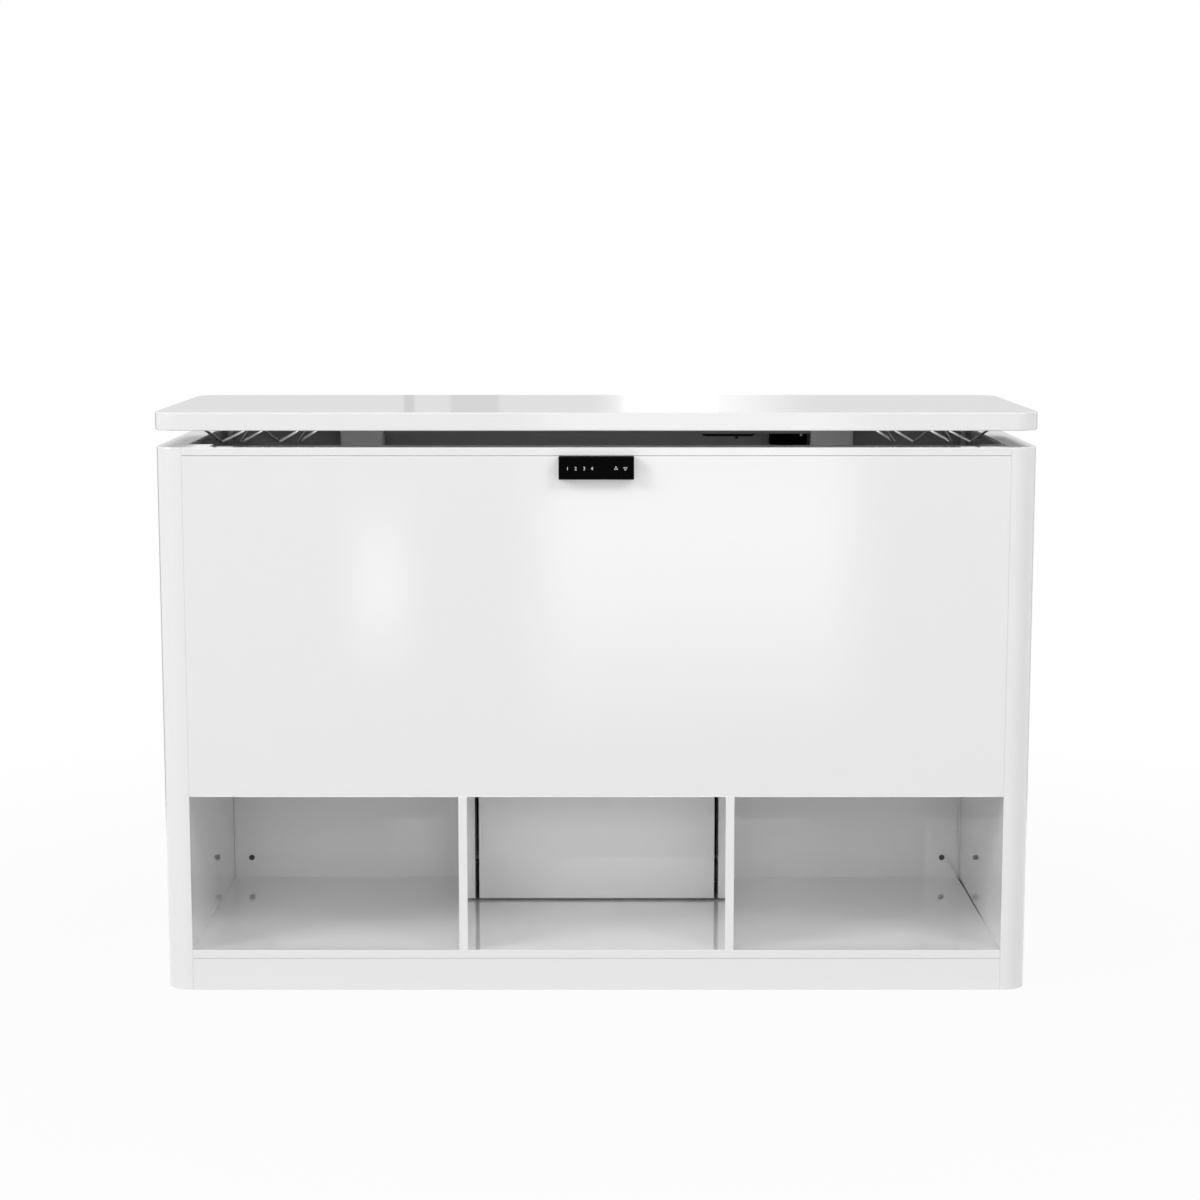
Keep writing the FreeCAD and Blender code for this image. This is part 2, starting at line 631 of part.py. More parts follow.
def motor(side):
    """Tubular gear motor on a mount plate in the head of the outer tube."""
    can = rod(MOTOR_DIAMETER, 0, 0, MOTOR_BOTTOM, MOTOR_TOP)
    gear_end = edges_where(can, lambda c: near(c.z, MOTOR_BOTTOM))
    can = can.makeFillet(MOTOR_EDGE, gear_end)
    mount = plug_in_tube(0, HEAD_BOTTOM - MOTOR_MOUNT_THICK, HEAD_BOTTOM)
    bearing = rod(SPINDLE_JOURNAL + 2 * RUNNING_FIT, 0, 0, MOTOR_BOTTOM, MOTOR_BOTTOM + JOURNAL_LENGTH)
    return at_column(can.fuse(mount).cut(bearing).removeSplitter(), side)


def drive_spindle(side):
    """Turning spindle that hangs from the motor into the hollow screw."""
    shaft = rod(SPINDLE_DIAMETER, 0, 0, SPINDLE_BOTTOM, MOTOR_BOTTOM)
    journal = rod(SPINDLE_JOURNAL, 0, 0, MOTOR_BOTTOM, MOTOR_BOTTOM + JOURNAL_LENGTH)
    return at_column(shaft.fuse(journal).removeSplitter(), side)


def hollow_screw(side):
    """Tubular screw held in the middle tube's carrier and turned in the base nut."""
    top = CARRIER_BOTTOM + CARRIER_SEAT
    shell = rod(SCREW_DIAMETER, 0, 0, SCREW_BOTTOM, top)
    bore = rod(SCREW_BORE, 0, 0, SCREW_BOTTOM, top)
    return at_column(shell.cut(bore), side)


def carrier(side):
    """Block in the head of the middle tube: spindle nut above, seat for the hollow screw below."""
    plug = plug_in_tube(1, CARRIER_BOTTOM, MIDDLE_TOP)
    nut_bore = rod(SPINDLE_DIAMETER + 2 * RUNNING_FIT, 0, 0, CARRIER_BOTTOM, MIDDLE_TOP)
    seat = rod(SCREW_DIAMETER + 2 * RUNNING_FIT, 0, 0, CARRIER_BOTTOM, CARRIER_BOTTOM + CARRIER_SEAT)
    return at_column(plug.cut(nut_bore).cut(seat), side)


def base_nuts():
    plug = plug_in_tube(2, INNER_TOP - BASE_NUT_HEIGHT, INNER_TOP)
    bore = rod(SCREW_DIAMETER + 2 * RUNNING_FIT, 0, 0, INNER_TOP - BASE_NUT_HEIGHT, INNER_TOP)
    return [at_column(plug.cut(bore), side) for side in SIDES]


def foot_plates():
    plate = bar(FOOT_PLATE_LENGTH, FOOT_PLATE_DEPTH, FOOT_PLATE_CORNER, CHAMBER_FLOOR_TOP, FOOT_TOP)
    places = foot_bolt_places()
    return [drill(at_column(plate, side), places, V(0, 0, -1), FOOT_PLATE_THICK) for side in SIDES]


def head_screw_places():
    """Screws through the head plates into the slab, clear of the column and its deck bracket."""
    dx = COLUMN_WIDTH / 2 - PLATE_SCREW_INSET
    rows = (HEAD_PLATE_FRONT + PLATE_SCREW_INSET, COLUMN_Y - COLUMN_DEPTH / 2 - PLATE_SCREW_INSET)
    across = [s * COLUMN_OFFSET + i * dx for s in SIDES.values() for i in (-1, 1)]
    return [V(x, y, HEAD_BOTTOM) for x in across for y in rows]


def rack_screw_places():
    """Screws through the rack strips into the slab, one at each end of every lane."""
    lanes = [s * RACK_OFFSET + i * LANE_PITCH / 2 for s in SIDES.values() for i in (-1, 1)]
    return [V(x, y, STRIP_BOTTOM) for x in lanes for y in (RACK_APEX_Y, RAIL_BACK_Y)]


def slab_screw_places():
    return head_screw_places() + rack_screw_places()


def head_plate(side):
    x, half = SIDES[side] * COLUMN_OFFSET, COLUMN_WIDTH / 2
    plate = block(x - half, x + half, HEAD_PLATE_FRONT, HEAD_PLATE_BACK, HEAD_BOTTOM, SLAB_BOTTOM)
    uprights = edges_where(plate, lambda c: near(c.z, (HEAD_BOTTOM + SLAB_BOTTOM) / 2))
    plate = plate.makeFillet(TUBE_CORNER, uprights)
    return drill(plate, head_screw_places(), V(0, 0, 1), HEAD_PLATE_THICK)


def top_slab():
    slab = bar(SLAB_WIDTH, SLAB_DEPTH, SLAB_CORNER, SLAB_BOTTOM, SLAB_BOTTOM + SLAB_THICK)
    slab = slab.translated(V(0, (SLAB_FRONT + SLAB_BACK) / 2, 0))
    faces = (SLAB_BOTTOM, SLAB_BOTTOM + SLAB_THICK)
    rims = edges_where(slab, lambda c: near(c.z, faces[0]) or near(c.z, faces[1]))
    slab = slab.makeFillet(SLAB_EDGE, rims)
    return drill(slab, slab_screw_places(), V(0, 0, 1), PLATE_SCREW_LENGTH)


def crossbeam():
    """Hollow beam between the columns, slotted where the motor cable leaves it."""
    beam = block(-BEAM_HALF, BEAM_HALF, BEAM_FRONT, BEAM_FRONT + BEAM_DEPTH, BEAM_BOTTOM, SLAB_BOTTOM)
    hollow = block(-BEAM_HALF, BEAM_HALF, BEAM_FRONT + BEAM_WALL, BEAM_FRONT + BEAM_DEPTH - BEAM_WALL,
                   BEAM_BOTTOM + BEAM_WALL, SLAB_BOTTOM - BEAM_WALL)
    beam = beam.cut(hollow)
    for slot in cable_slots():
        beam = beam.cut(slot)
    return beam


def lift_back_panel():
    return block(-LIFT_HALF, LIFT_HALF, LIFT_BACK_FRONT, LIFT_BACK_REAR, DECK_BOTTOM, SLAB_BOTTOM)


def back_panel_batten():
    half = BEAM_HALF - BATTEN_END_GAP
    return block(-half, half, LIFT_BACK_FRONT - BATTEN, LIFT_BACK_FRONT, SLAB_BOTTOM - BATTEN, SLAB_BOTTOM)


def deck():
    """Shelf that carries the bottles, cut out round the columns."""
    board = block(-LIFT_HALF, LIFT_HALF, DECK_FRONT, LIFT_BACK_FRONT, DECK_BOTTOM, DECK_TOP)
    board = ease_front(board, DECK_FRONT)
    gap = 2 * DECK_HOLE_GAP
    for side in SIDES:
        hole = bar(COLUMN_WIDTH + gap, COLUMN_DEPTH + gap, TUBE_CORNER, DECK_BOTTOM, DECK_TOP)
        board = board.cut(at_column(hole, side))
    return board


def deck_bracket(side):
    """Bracket on the column's front: a flat arm under the deck with a tapered web below it."""
    root = COLUMN_Y - COLUMN_DEPTH / 2
    tip = DECK_FRONT + BRACKET_FRONT_GAP
    arm_bottom = DECK_BOTTOM - BRACKET_PLATE
    arm = block(-BRACKET_WIDTH / 2, BRACKET_WIDTH / 2, tip, root, arm_bottom, DECK_BOTTOM)
    x = -BRACKET_PLATE / 2
    outline = [V(x, root, arm_bottom), V(x, tip, arm_bottom), V(x, tip, arm_bottom - BRACKET_TIP),
               V(x, root, arm_bottom - BRACKET_ROOT), V(x, root, arm_bottom)]
    web = Part.Face(Part.makePolygon(outline)).extrude(V(BRACKET_PLATE, 0, 0))
    pad = block(-BRACKET_WIDTH / 2, BRACKET_WIDTH / 2, root - BRACKET_PLATE, root,
                arm_bottom - BRACKET_ROOT, arm_bottom)
    bracket = arm.fuse([web, pad]).removeSplitter()
    return bracket.translated(V(SIDES[side] * COLUMN_OFFSET, 0, 0))


def control_box():
    right = BEAM_HALF - CONTROL_BRACKET_THICK
    case = block(right - CONTROL_WIDTH, right, BEAM_FRONT, LIFT_BACK_FRONT - CONTROL_BACK_GAP,
                 BEAM_BOTTOM - CONTROL_HEIGHT, BEAM_BOTTOM)
    front = edges_where(case, lambda c: near(c.y, BEAM_FRONT) and c.z < BEAM_BOTTOM - CONTROL_CORNER)
    return case.makeFillet(CONTROL_CORNER, front)


def control_box_bracket():
    """Upright strap that holds the control box to the side of the right column."""
    return block(BEAM_HALF - CONTROL_BRACKET_THICK, BEAM_HALF, BEAM_FRONT, BEAM_FRONT + BEAM_DEPTH,
                 BEAM_BOTTOM - CONTROL_BRACKET_HEIGHT, BEAM_BOTTOM)


def rack_wires(centre):
    """Three bent wires: a middle hairpin between the two lanes and a single wire at each end."""
    half_lane = LANE_WIDTH / 2
    lanes = [centre + (i - 0.5) * LANE_PITCH for i in range(2)]
    half_apex = LANE_PITCH / 2 - half_lane - ARM_SPREAD

    def half_wire(x, toward):
        apex = x + toward * ARM_SPREAD
        return [V(apex + toward * half_apex, RACK_APEX_Y, RACK_APEX_Z), V(apex, RACK_APEX_Y, RACK_APEX_Z),
                V(x, RAIL_FRONT_Y, RACK_RAIL_Z), V(x, RAIL_BACK_Y, RACK_RAIL_Z),
                V(x, RAIL_BACK_Y, STRIP_BOTTOM)]

    ends = [half_wire(lanes[0] - half_lane, -1), half_wire(lanes[1] + half_lane, 1)]
    left = half_wire(lanes[0] + half_lane, 1)
    right = half_wire(lanes[1] - half_lane, -1)
    hairpin = left[:0:-1] + right[1:]
    return [bent_rod(points, WIRE_BEND, WIRE) for points in ends + [hairpin]]


def stemware_rack(side):
    """Wire rack under the slab: two lanes for stems, hung from a strip at each end."""
    centre = SIDES[side] * RACK_OFFSET
    left, right, half = centre - LANE_PITCH, centre + LANE_PITCH, STRIP_WIDTH / 2
    strips = [block(left, right, y - half, y + half, STRIP_BOTTOM, SLAB_BOTTOM)
              for y in (RACK_APEX_Y, RAIL_BACK_Y)]
    return rack_wires(centre) + [drill(s, rack_screw_places(), V(0, 0, 1), STRIP_THICK) for s in strips]


def screws(places, direction, length):
    return [fastener(place, direction, length) for place in places]


def build():
    """Every node of the cabinet, by name."""
    nodes = {
        "front_panel": front_panel(),
        "front_top_rail": front_top_rail(),
        "corner_posts": corner_posts(),
        "front_stretcher": front_stretcher(),
        "chamber_floor": chamber_floor(),
        "bottom_board": bottom_board(),
        "front_plinth": front_plinth(),
        "rear_plinth": rear_plinth(),
        "back_board": back_board(),
        "service_panel": service_panel(),
        "service_panel_cleats": service_panel_cleats(),
        "power_supply": power_supply(),
        "power_inlet": power_inlet(),
        "handset_housing": handset_housing(),
        "handset_window": handset_window(),
        "foot_plates": foot_plates(),
        "base_nuts": base_nuts(),
        "inner_glides": [at_column(pad, side) for side in SIDES for pad in glides(2, INNER_TOP)],
        "top_slab": top_slab(),
        "crossbeam": crossbeam(),
        "lift_back_panel": lift_back_panel(),
        "back_panel_batten": back_panel_batten(),
        "deck": deck(),
        "control_box": control_box(),
        "control_box_bracket": control_box_bracket(),
        "motor_cable": motor_cable(),
        "lining_screws": screws(lining_screw_places(), V(0, 1, 0), BACK_LINING_THICK + BACK_THICK / 2),
        "back_board_screws": screws(all_back_screw_places(), V(0, -1, 0), BACK_SCREW_LENGTH),
        "foot_bolts": screws(foot_bolt_places(), V(0, 0, -1), BOLT_LENGTH),
        "slab_screws": screws(slab_screw_places(), V(0, 0, 1), PLATE_SCREW_LENGTH),
    }
    paired = {
        "side_panel": side_panel,
        "divider": divider,
        "chamber_lining": chamber_lining,
        "compartment_back": compartment_back,
        "outer_tube": outer_tube,
        "middle_tube": middle_tube,
        "inner_tube": inner_tube,
        "motor": motor,
        "drive_spindle": drive_spindle,
        "hollow_screw": hollow_screw,
        "carrier": carrier,
        "head_plate": head_plate,
        "deck_bracket": deck_bracket,
        "stemware_rack": stemware_rack,
    }
    for side in SIDES:
        for name, make in paired.items():
            nodes[f"{name}_{side}"] = make(side)
        nodes[f"middle_glides_{side}"] = [at_column(pad, side) for pad in glides(1, MIDDLE_TOP)]
    return nodes


def main():
    os.makedirs("parts", exist_ok=True)
    for name, shape in build().items():
        if isinstance(shape, list):
            shape = Part.makeCompound(shape)
        shape.exportStep(f"parts/{name}.step")
        print(name, len(shape.Solids), "solids", round(shape.Volume / 1000, 1), "cm3", shape.isValid())


main()
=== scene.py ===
# %% [markdown]
# # Lift bar cabinet
# The real thing is a white gloss sideboard. Three compartments lie open below, and a closed chamber
# above them hides a bar that rises with the top slab on two telescopic columns.
# The construction arrives as a finished frame of named boards, tubes and wires. It could be modelled
# again here, but then it might drift from its true sizes, so the lesson only dresses it.

# %% Load the frame
import bmesh
import bpy
import json
import math
from mathutils import Matrix, Vector


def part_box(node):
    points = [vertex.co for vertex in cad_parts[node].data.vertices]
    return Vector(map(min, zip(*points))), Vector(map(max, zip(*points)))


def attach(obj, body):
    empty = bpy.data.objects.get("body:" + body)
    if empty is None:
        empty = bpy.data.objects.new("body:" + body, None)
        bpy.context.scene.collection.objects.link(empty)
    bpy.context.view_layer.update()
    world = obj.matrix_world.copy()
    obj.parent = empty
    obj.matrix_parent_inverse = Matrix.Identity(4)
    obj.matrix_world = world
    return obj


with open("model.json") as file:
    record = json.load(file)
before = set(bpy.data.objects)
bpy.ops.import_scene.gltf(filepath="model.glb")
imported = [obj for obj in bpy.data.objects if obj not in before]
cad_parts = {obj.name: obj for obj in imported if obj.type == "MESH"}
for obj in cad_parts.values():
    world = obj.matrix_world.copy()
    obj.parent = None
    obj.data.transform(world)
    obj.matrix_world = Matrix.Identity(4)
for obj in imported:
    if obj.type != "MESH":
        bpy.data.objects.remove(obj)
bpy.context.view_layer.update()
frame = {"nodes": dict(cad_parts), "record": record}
nodes = frame["nodes"]
scene = bpy.context.scene
scene.view_settings.view_transform = "Standard"

# %% [markdown]
# ## Camera
# The photograph was taken from straight ahead, a little above the top, with a long lens. A camera could
# be aimed by eye, but the slab and the plinth give enough edges to fit one. Its height and its tilt decide
# how much of the slab's top and how much of the gap below the slab can be seen.

# %% Camera of the photograph
CAMERA_PLACE = (0.0062, -4.4178, 1.271)
CAMERA_TILT = math.radians(8.004)
SENSOR = 36.0
LENS = 74.175


def link(piece):
    """Puts a new object into the scene and hands it back."""
    scene.collection.objects.link(piece)
    return piece


camera_data = bpy.data.cameras.new("photo_camera")
camera_data.sensor_width = SENSOR
camera_data.lens = LENS
camera = link(bpy.data.objects.new("photo_camera", camera_data))
camera.location = CAMERA_PLACE
camera.rotation_euler = (math.pi / 2 - CAMERA_TILT, 0, 0)
scene.camera = camera
print("camera:", LENS, "mm lens, tilted", round(math.degrees(CAMERA_TILT), 2), "degrees")

# %% [markdown]
# ## Helpers for shader nodes
# Every finish below is a small tree of shader nodes. Adding a node always takes the same three steps:
# make it, set its options, set its inputs. One helper does them, so that a finish reads as a list.

# %% Node helpers


def add(tree, kind, inputs=None, **options):
    """Adds a node, sets its options, then the starting values of the inputs that are named."""
    made = tree.nodes.new(kind)
    for name, value in options.items():
        setattr(made, name, value)
    for name, value in (inputs or {}).items():
        made.inputs[name].default_value = value
    return made


def grey(value):
    """An opaque grey; zero is black and one is white."""
    return (value, value, value, 1.0)


def new_material(name):
    """A new material, with its node tree and the shader that is already in it."""
    material = bpy.data.materials.new(name)
    material.use_nodes = True
    return material, material.node_tree, material.node_tree.nodes["Principled BSDF"]


# %% [markdown]
# ## Studio
# The photograph has a plain white ground, soft light from the upper left and no hard shadow. A wall of
# lamps could burn the ground out, but that would burn the white cabinet out as well. So the ground is
# white to the camera and to reflections, and lights the cabinet only as strongly as a pale room does.

# %% White surroundings
ROOM_LIGHT = 0.42
GROUND_WHITE = 1.0


def seen_directly(tree):
    """One where a ray comes from the camera, or from gloss or glass, and zero for scattered light."""
    path = add(tree, "ShaderNodeLightPath")
    first = add(tree, "ShaderNodeMath", operation="MAXIMUM")
    both = add(tree, "ShaderNodeMath", operation="MAXIMUM")
    tree.links.new(path.outputs["Is Camera Ray"], first.inputs[0])
    tree.links.new(path.outputs["Is Glossy Ray"], first.inputs[1])
    tree.links.new(first.outputs[0], both.inputs[0])
    tree.links.new(path.outputs["Is Transmission Ray"], both.inputs[1])
    return both.outputs[0]


world = bpy.data.worlds.new("white_room")
world.use_nodes = True
scene.world = world
tree = world.node_tree
room = tree.nodes["Background"]
room.inputs["Color"].default_value = grey(1.0)
room.inputs["Strength"].default_value = ROOM_LIGHT
ground = add(tree, "ShaderNodeBackground", {"Color": grey(1.0), "Strength": GROUND_WHITE})
choose = add(tree, "ShaderNodeMixShader")
tree.links.new(seen_directly(tree), choose.inputs["Fac"])
tree.links.new(room.outputs[0], choose.inputs[1])
tree.links.new(ground.outputs[0], choose.inputs[2])
tree.links.new(choose.outputs[0], tree.nodes["World Output"].inputs["Surface"])
print("room light:", ROOM_LIGHT)

# %% [markdown]
# The cabinet stands on the same white, with only a breath of a shadow. A floor of white paint would show a
# grey pool round the plinth, and no floor at all would let light in from below. So there is a floor that
# lights the cabinet as paint does, but most of what the camera sees of it is plain white.

# %% Floor
FLOOR_REACH = 9.0
FLOOR_PAINT = 0.60
FLOOR_ROUGHNESS = 0.9
FLOOR_GLOW = 0.95
SHADOW_REACH = 1.0
WHITE_REACH = 2.4


def floor_material():
    """Paint under a glow that grows to plain white at WHITE_REACH, so that no shadow shows beyond it."""
    material, tree, paint = new_material("floor_paint")
    paint.inputs["Base Color"].default_value = grey(FLOOR_PAINT)
    paint.inputs["Roughness"].default_value = FLOOR_ROUGHNESS
    paint.inputs["Specular IOR Level"].default_value = 0.0
    glow = add(tree, "ShaderNodeEmission", {"Color": grey(1.0), "Strength": GROUND_WHITE})
    place = add(tree, "ShaderNodeTexCoord")
    away = add(tree, "ShaderNodeVectorMath", operation="LENGTH")
    fade = add(tree, "ShaderNodeMapRange", {"From Min": SHADOW_REACH, "From Max": WHITE_REACH,
                                            "To Min": FLOOR_GLOW, "To Max": 1.0})
    share = add(tree, "ShaderNodeMath", operation="MULTIPLY")
    blend = add(tree, "ShaderNodeMixShader")
    tree.links.new(place.outputs["Object"], away.inputs[0])
    tree.links.new(away.outputs["Value"], fade.inputs["Value"])
    tree.links.new(fade.outputs[0], share.inputs[1])
    tree.links.new(seen_directly(tree), share.inputs[0])
    tree.links.new(share.outputs[0], blend.inputs["Fac"])
    tree.links.new(paint.outputs[0], blend.inputs[1])
    tree.links.new(glow.outputs[0], blend.inputs[2])
    tree.links.new(blend.outputs[0], tree.nodes["Material Output"].inputs["Surface"])
    return material


def mesh_piece(name, shape, material):
    """Turns a finished bmesh into an object that sits at the origin."""
    mesh = bpy.data.meshes.new(name)
    shape.to_mesh(mesh)
    shape.free()
    mesh.materials.append(material)
    return link(bpy.data.objects.new(name, mesh))


shape = bmesh.new()
bmesh.ops.create_grid(shape, x_segments=1, y_segments=1, size=FLOOR_REACH)
floor = mesh_piece("studio_floor", shape, floor_material())
print("floor:", 2 * FLOOR_REACH, "m square")

# %% [markdown]
# ## Lamps
# The left of the cabinet is a little lighter than the right, and every shadow has a wide soft edge. One
# small lamp would draw hard shadows into the open compartments, so large softboxes stand far away: the key
# at the left, a weaker fill at the right, and a long low one ahead that reaches into the compartments. The
# low one is kept out of reflections, because the photograph shows no such band of light on the front.

# %% Softboxes
LAMP_TARGET = Vector((0.0, 0.0, 0.9))


def area_lamp(name, width, height, level):
    """A rectangular lamp that the camera can't see; level is the brightness of its face."""
    data = bpy.data.lights.new(name, "AREA")
    data.shape = "RECTANGLE"
    data.size = width
    data.size_y = height
    data.energy = level * math.pi * width * height
    lamp = link(bpy.data.objects.new(name, data))
    lamp.visible_camera = False
    return lamp


def softbox(name, azimuth, elevation, distance, width, height, level):
    """A lamp that points at the cabinet.

    Azimuth is counted from straight ahead, to the right, and elevation from the horizon, in degrees.
    """
    turn, rise = math.radians(azimuth), math.radians(elevation)
    toward = Vector((math.sin(turn) * math.cos(rise), -math.cos(turn) * math.cos(rise), math.sin(rise)))
    lamp = area_lamp(name, width, height, level)
    lamp.location = LAMP_TARGET + toward * distance
    lamp.rotation_euler = (-toward).to_track_quat("-Z", "Y").to_euler()
    return lamp


softbox("key_softbox", azimuth=-61.0, elevation=26.0, distance=14.0, width=4.8, height=4.8, level=10.6)
softbox("fill_softbox", azimuth=47.0, elevation=36.0, distance=12.0, width=4.8, height=3.4, level=7.0)
low_box = softbox("low_softbox", azimuth=0.0, elevation=15.0, distance=9.0, width=7.2, height=1.2,
                  level=3.35)
low_box.visible_glossy = False

# %% [markdown]
# The chamber below the slab is dark board, and little light finds its way through the narrow gap. In the
# photograph its back still shows as a dark grey, so a thin strip lamp hides behind the front stretcher. It
# is out of sight of the camera, and shines to the back only. It could stay there when the slab rises, but
# then it would glare on the deck that comes up below it, so it goes up with the slab.

# %% Strip lamp in the gap
STRIP_GAP = 0.008
STRIP_HEIGHT = 0.022
STRIP_LEVEL = 6.3
SHINE_BACK = math.pi / 2
stretcher_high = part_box("front_stretcher")[1]
strip = area_lamp("gap_strip", 2 * stretcher_high.x, STRIP_HEIGHT, STRIP_LEVEL)
strip.location = (0.0, stretcher_high.y + STRIP_GAP, stretcher_high.z + STRIP_GAP)
strip.rotation_euler = (SHINE_BACK, 0, 0)
strip.visible_glossy = False
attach(strip, "lift_unit")
print("gap strip:", round(2 * stretcher_high.x, 3), "m long")

# %% [markdown]
# The wires of the racks run to the back, so they shine only in light that comes from there. Two short
# strips behind the racks give it, as the bright lines on the wires in the photograph show, and they go up
# with the racks.

# %% Strip lamps behind the racks
RACK_STRIP_GAP = 0.010
RACK_STRIP_RISE = 0.010
RACK_STRIP_HEIGHT = 0.010
RACK_STRIP_LEVEL = 2.8
for side in ("left", "right"):
    rack_low, rack_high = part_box("stemware_rack_" + side)
    strip = area_lamp("rack_strip_" + side, rack_high.x - rack_low.x, RACK_STRIP_HEIGHT, RACK_STRIP_LEVEL)
    strip.location = ((rack_low.x + rack_high.x) / 2, rack_high.y + RACK_STRIP_GAP,
                      rack_low.z + RACK_STRIP_RISE)
    strip.rotation_euler = (-SHINE_BACK, 0, 0)
    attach(strip, "lift_unit")
    print("rack strip:", side, round(rack_high.x - rack_low.x, 3), "m long")

# %% [markdown]
# ## Reflection cards
# High gloss shows what stands around it. The slab's top mirrors a grey wall with a bright window, and the
# front mirrors two soft lights ahead of it. Lamps for them would also brighten the boards, so each one is a
# card that only gloss can see, as a studio hangs a flag or a reflector. Its edges fade out, because the
# lights in the photograph have no hard edge.

# %% Card material
UV_MIDDLE = 0.5
SCATTER_LIMIT = 0.5


def edge_masks(tree, fade):
    """Two masks that fall to zero at the edges of the UV square, each over a share of its side."""
    square = add(tree, "ShaderNodeTexCoord")
    split = add(tree, "ShaderNodeSeparateXYZ")
    tree.links.new(square.outputs["UV"], split.inputs[0])
    masks = []
    for axis, share in zip("XY", fade):
        centred = add(tree, "ShaderNodeMath", {1: UV_MIDDLE}, operation="SUBTRACT")
        size = add(tree, "ShaderNodeMath", operation="ABSOLUTE")
        ramp = add(tree, "ShaderNodeMapRange", {"From Min": UV_MIDDLE, "From Max": UV_MIDDLE - share},
                   interpolation_type="SMOOTHSTEP")
        tree.links.new(split.outputs[axis], centred.inputs[0])
        tree.links.new(centred.outputs[0], size.inputs[0])
        tree.links.new(size.outputs[0], ramp.inputs["Value"])
        masks.append(ramp.outputs[0])
    return masks


def card_material(name, level, fade):
    """A glow that fades to clear at the card's edges, and is clear to light that a board scattered."""
    material, tree, shader = new_material(name)
    tree.nodes.remove(shader)
    across, along = edge_masks(tree, fade)
    both = add(tree, "ShaderNodeMath", operation="MULTIPLY")
    path = add(tree, "ShaderNodeLightPath")
    unscattered = add(tree, "ShaderNodeMath", {1: SCATTER_LIMIT}, operation="LESS_THAN")
    shown = add(tree, "ShaderNodeMath", operation="MULTIPLY")
    clear = add(tree, "ShaderNodeBsdfTransparent")
    glow = add(tree, "ShaderNodeEmission", {"Strength": level})
    blend = add(tree, "ShaderNodeMixShader")
    tree.links.new(across, both.inputs[0])
    tree.links.new(along, both.inputs[1])
    tree.links.new(path.outputs["Diffuse Depth"], unscattered.inputs[0])
    tree.links.new(both.outputs[0], shown.inputs[0])
    tree.links.new(unscattered.outputs[0], shown.inputs[1])
    tree.links.new(shown.outputs[0], blend.inputs["Fac"])
    tree.links.new(clear.outputs[0], blend.inputs[1])
    tree.links.new(glow.outputs[0], blend.inputs[2])
    tree.links.new(blend.outputs[0], tree.nodes["Material Output"].inputs["Surface"])
    return material


# %% Card shapes
UPRIGHT = Matrix.Rotation(math.pi / 2, 4, "X")


def card_in_place(name, place, level, fade):
    """A square of one metre that a matrix stretches and puts in place, seen by gloss alone."""
    shape = bmesh.new()
    shape.loops.layers.uv.verify()
    bmesh.ops.create_grid(shape, x_segments=1, y_segments=1, size=0.5, calc_uvs=True)
    bmesh.ops.transform(shape, matrix=place, verts=shape.verts)
    piece = mesh_piece(name, shape, card_material(name, level, fade))
    piece.visible_camera = False
    piece.visible_diffuse = False
    piece.visible_shadow = False
    piece.visible_transmission = False
    return piece


def card(name, y, x_range, z_range, level, fade):
    """An upright card across the view."""
    stretch = Matrix.Diagonal((x_range[1] - x_range[0], z_range[1] - z_range[0], 1.0, 1.0))
    middle = Matrix.Translation((sum(x_range) / 2, y, sum(z_range) / 2))
    return card_in_place(name, middle @ UPRIGHT @ stretch, level, fade)


def flat_card(name, z, x_range, y_range, level, fade):
    """A level card, such as one that hangs above the top of a side."""
    stretch = Matrix.Diagonal((x_range[1] - x_range[0], y_range[1] - y_range[0], 1.0, 1.0))
    middle = Matrix.Translation((sum(x_range) / 2, sum(y_range) / 2, z))
    return card_in_place(name, middle @ stretch, level, fade)


# %% [markdown]
# Cards behind the cabinet are met by the slab's top, and cards in front of it by the front panel. A low
# glow far in front is met by the compartment floors, by way of their back walls, and a glow below the
# compartments' ceiling by the front of those floors. Two grey flags beside the cabinet darken the outer
# edges of its round corners, and two small ones the tops of its sides.

# %% Cards
BACK_WALL_Y = 4.0
SLAT_Y = 3.9
WINDOW_Y = 4.1
BACK_HEIGHT = (0.8, 2.2)
FRONT_GLOW_Y = -2.0
LOW_GLOW_Y = -8.0
FLAG_Y = 0.9
FLAG_HEIGHT = (-0.20, 1.00)
CARD_GAP = 0.001
CEILING_GLOW_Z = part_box("chamber_floor")[0].z - CARD_GAP
CEILING_GLOW_DEPTH = (-0.270, -0.190)
RIM_FLAG_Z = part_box("top_slab")[0].z - CARD_GAP
RIM_FLAG_DEPTH = (0.00, 0.45)
card("grey_wall_left", BACK_WALL_Y, (-6.0, 0.15), BACK_HEIGHT, level=0.755, fade=(0.03, 0.1))
card("grey_wall_right", BACK_WALL_Y, (0.36, 6.0), BACK_HEIGHT, level=0.75, fade=(0.075, 0.1))
card("grey_slat_wide", SLAT_Y, (-0.51, -0.32), BACK_HEIGHT, level=0.66, fade=(0.15, 0.1))
card("grey_slat_narrow", SLAT_Y, (-0.66, -0.61), BACK_HEIGHT, level=0.63, fade=(0.30, 0.1))
card("bright_window", WINDOW_Y, (0.06, 0.425), BACK_HEIGHT, level=1.15, fade=(0.11, 0.1))
card("front_glow_wide", FRONT_GLOW_Y, (-0.23, 0.71), (0.00, 1.25), level=2.3, fade=(0.21, 0.50))
card("low_glow", LOW_GLOW_Y, (-2.8, 2.8), (2.28, 3.10), level=3.2, fade=(0.15, 0.45))
card("flag_left", FLAG_Y, (-2.00, -0.85), FLAG_HEIGHT, level=0.35, fade=(0.20, 0.05))
card("flag_right", FLAG_Y, (0.85, 2.00), FLAG_HEIGHT, level=0.60, fade=(0.20, 0.05))
flat_card("ceiling_glow", CEILING_GLOW_Z, (-0.70, 0.70), CEILING_GLOW_DEPTH, level=3.0, fade=(0.02, 0.25))
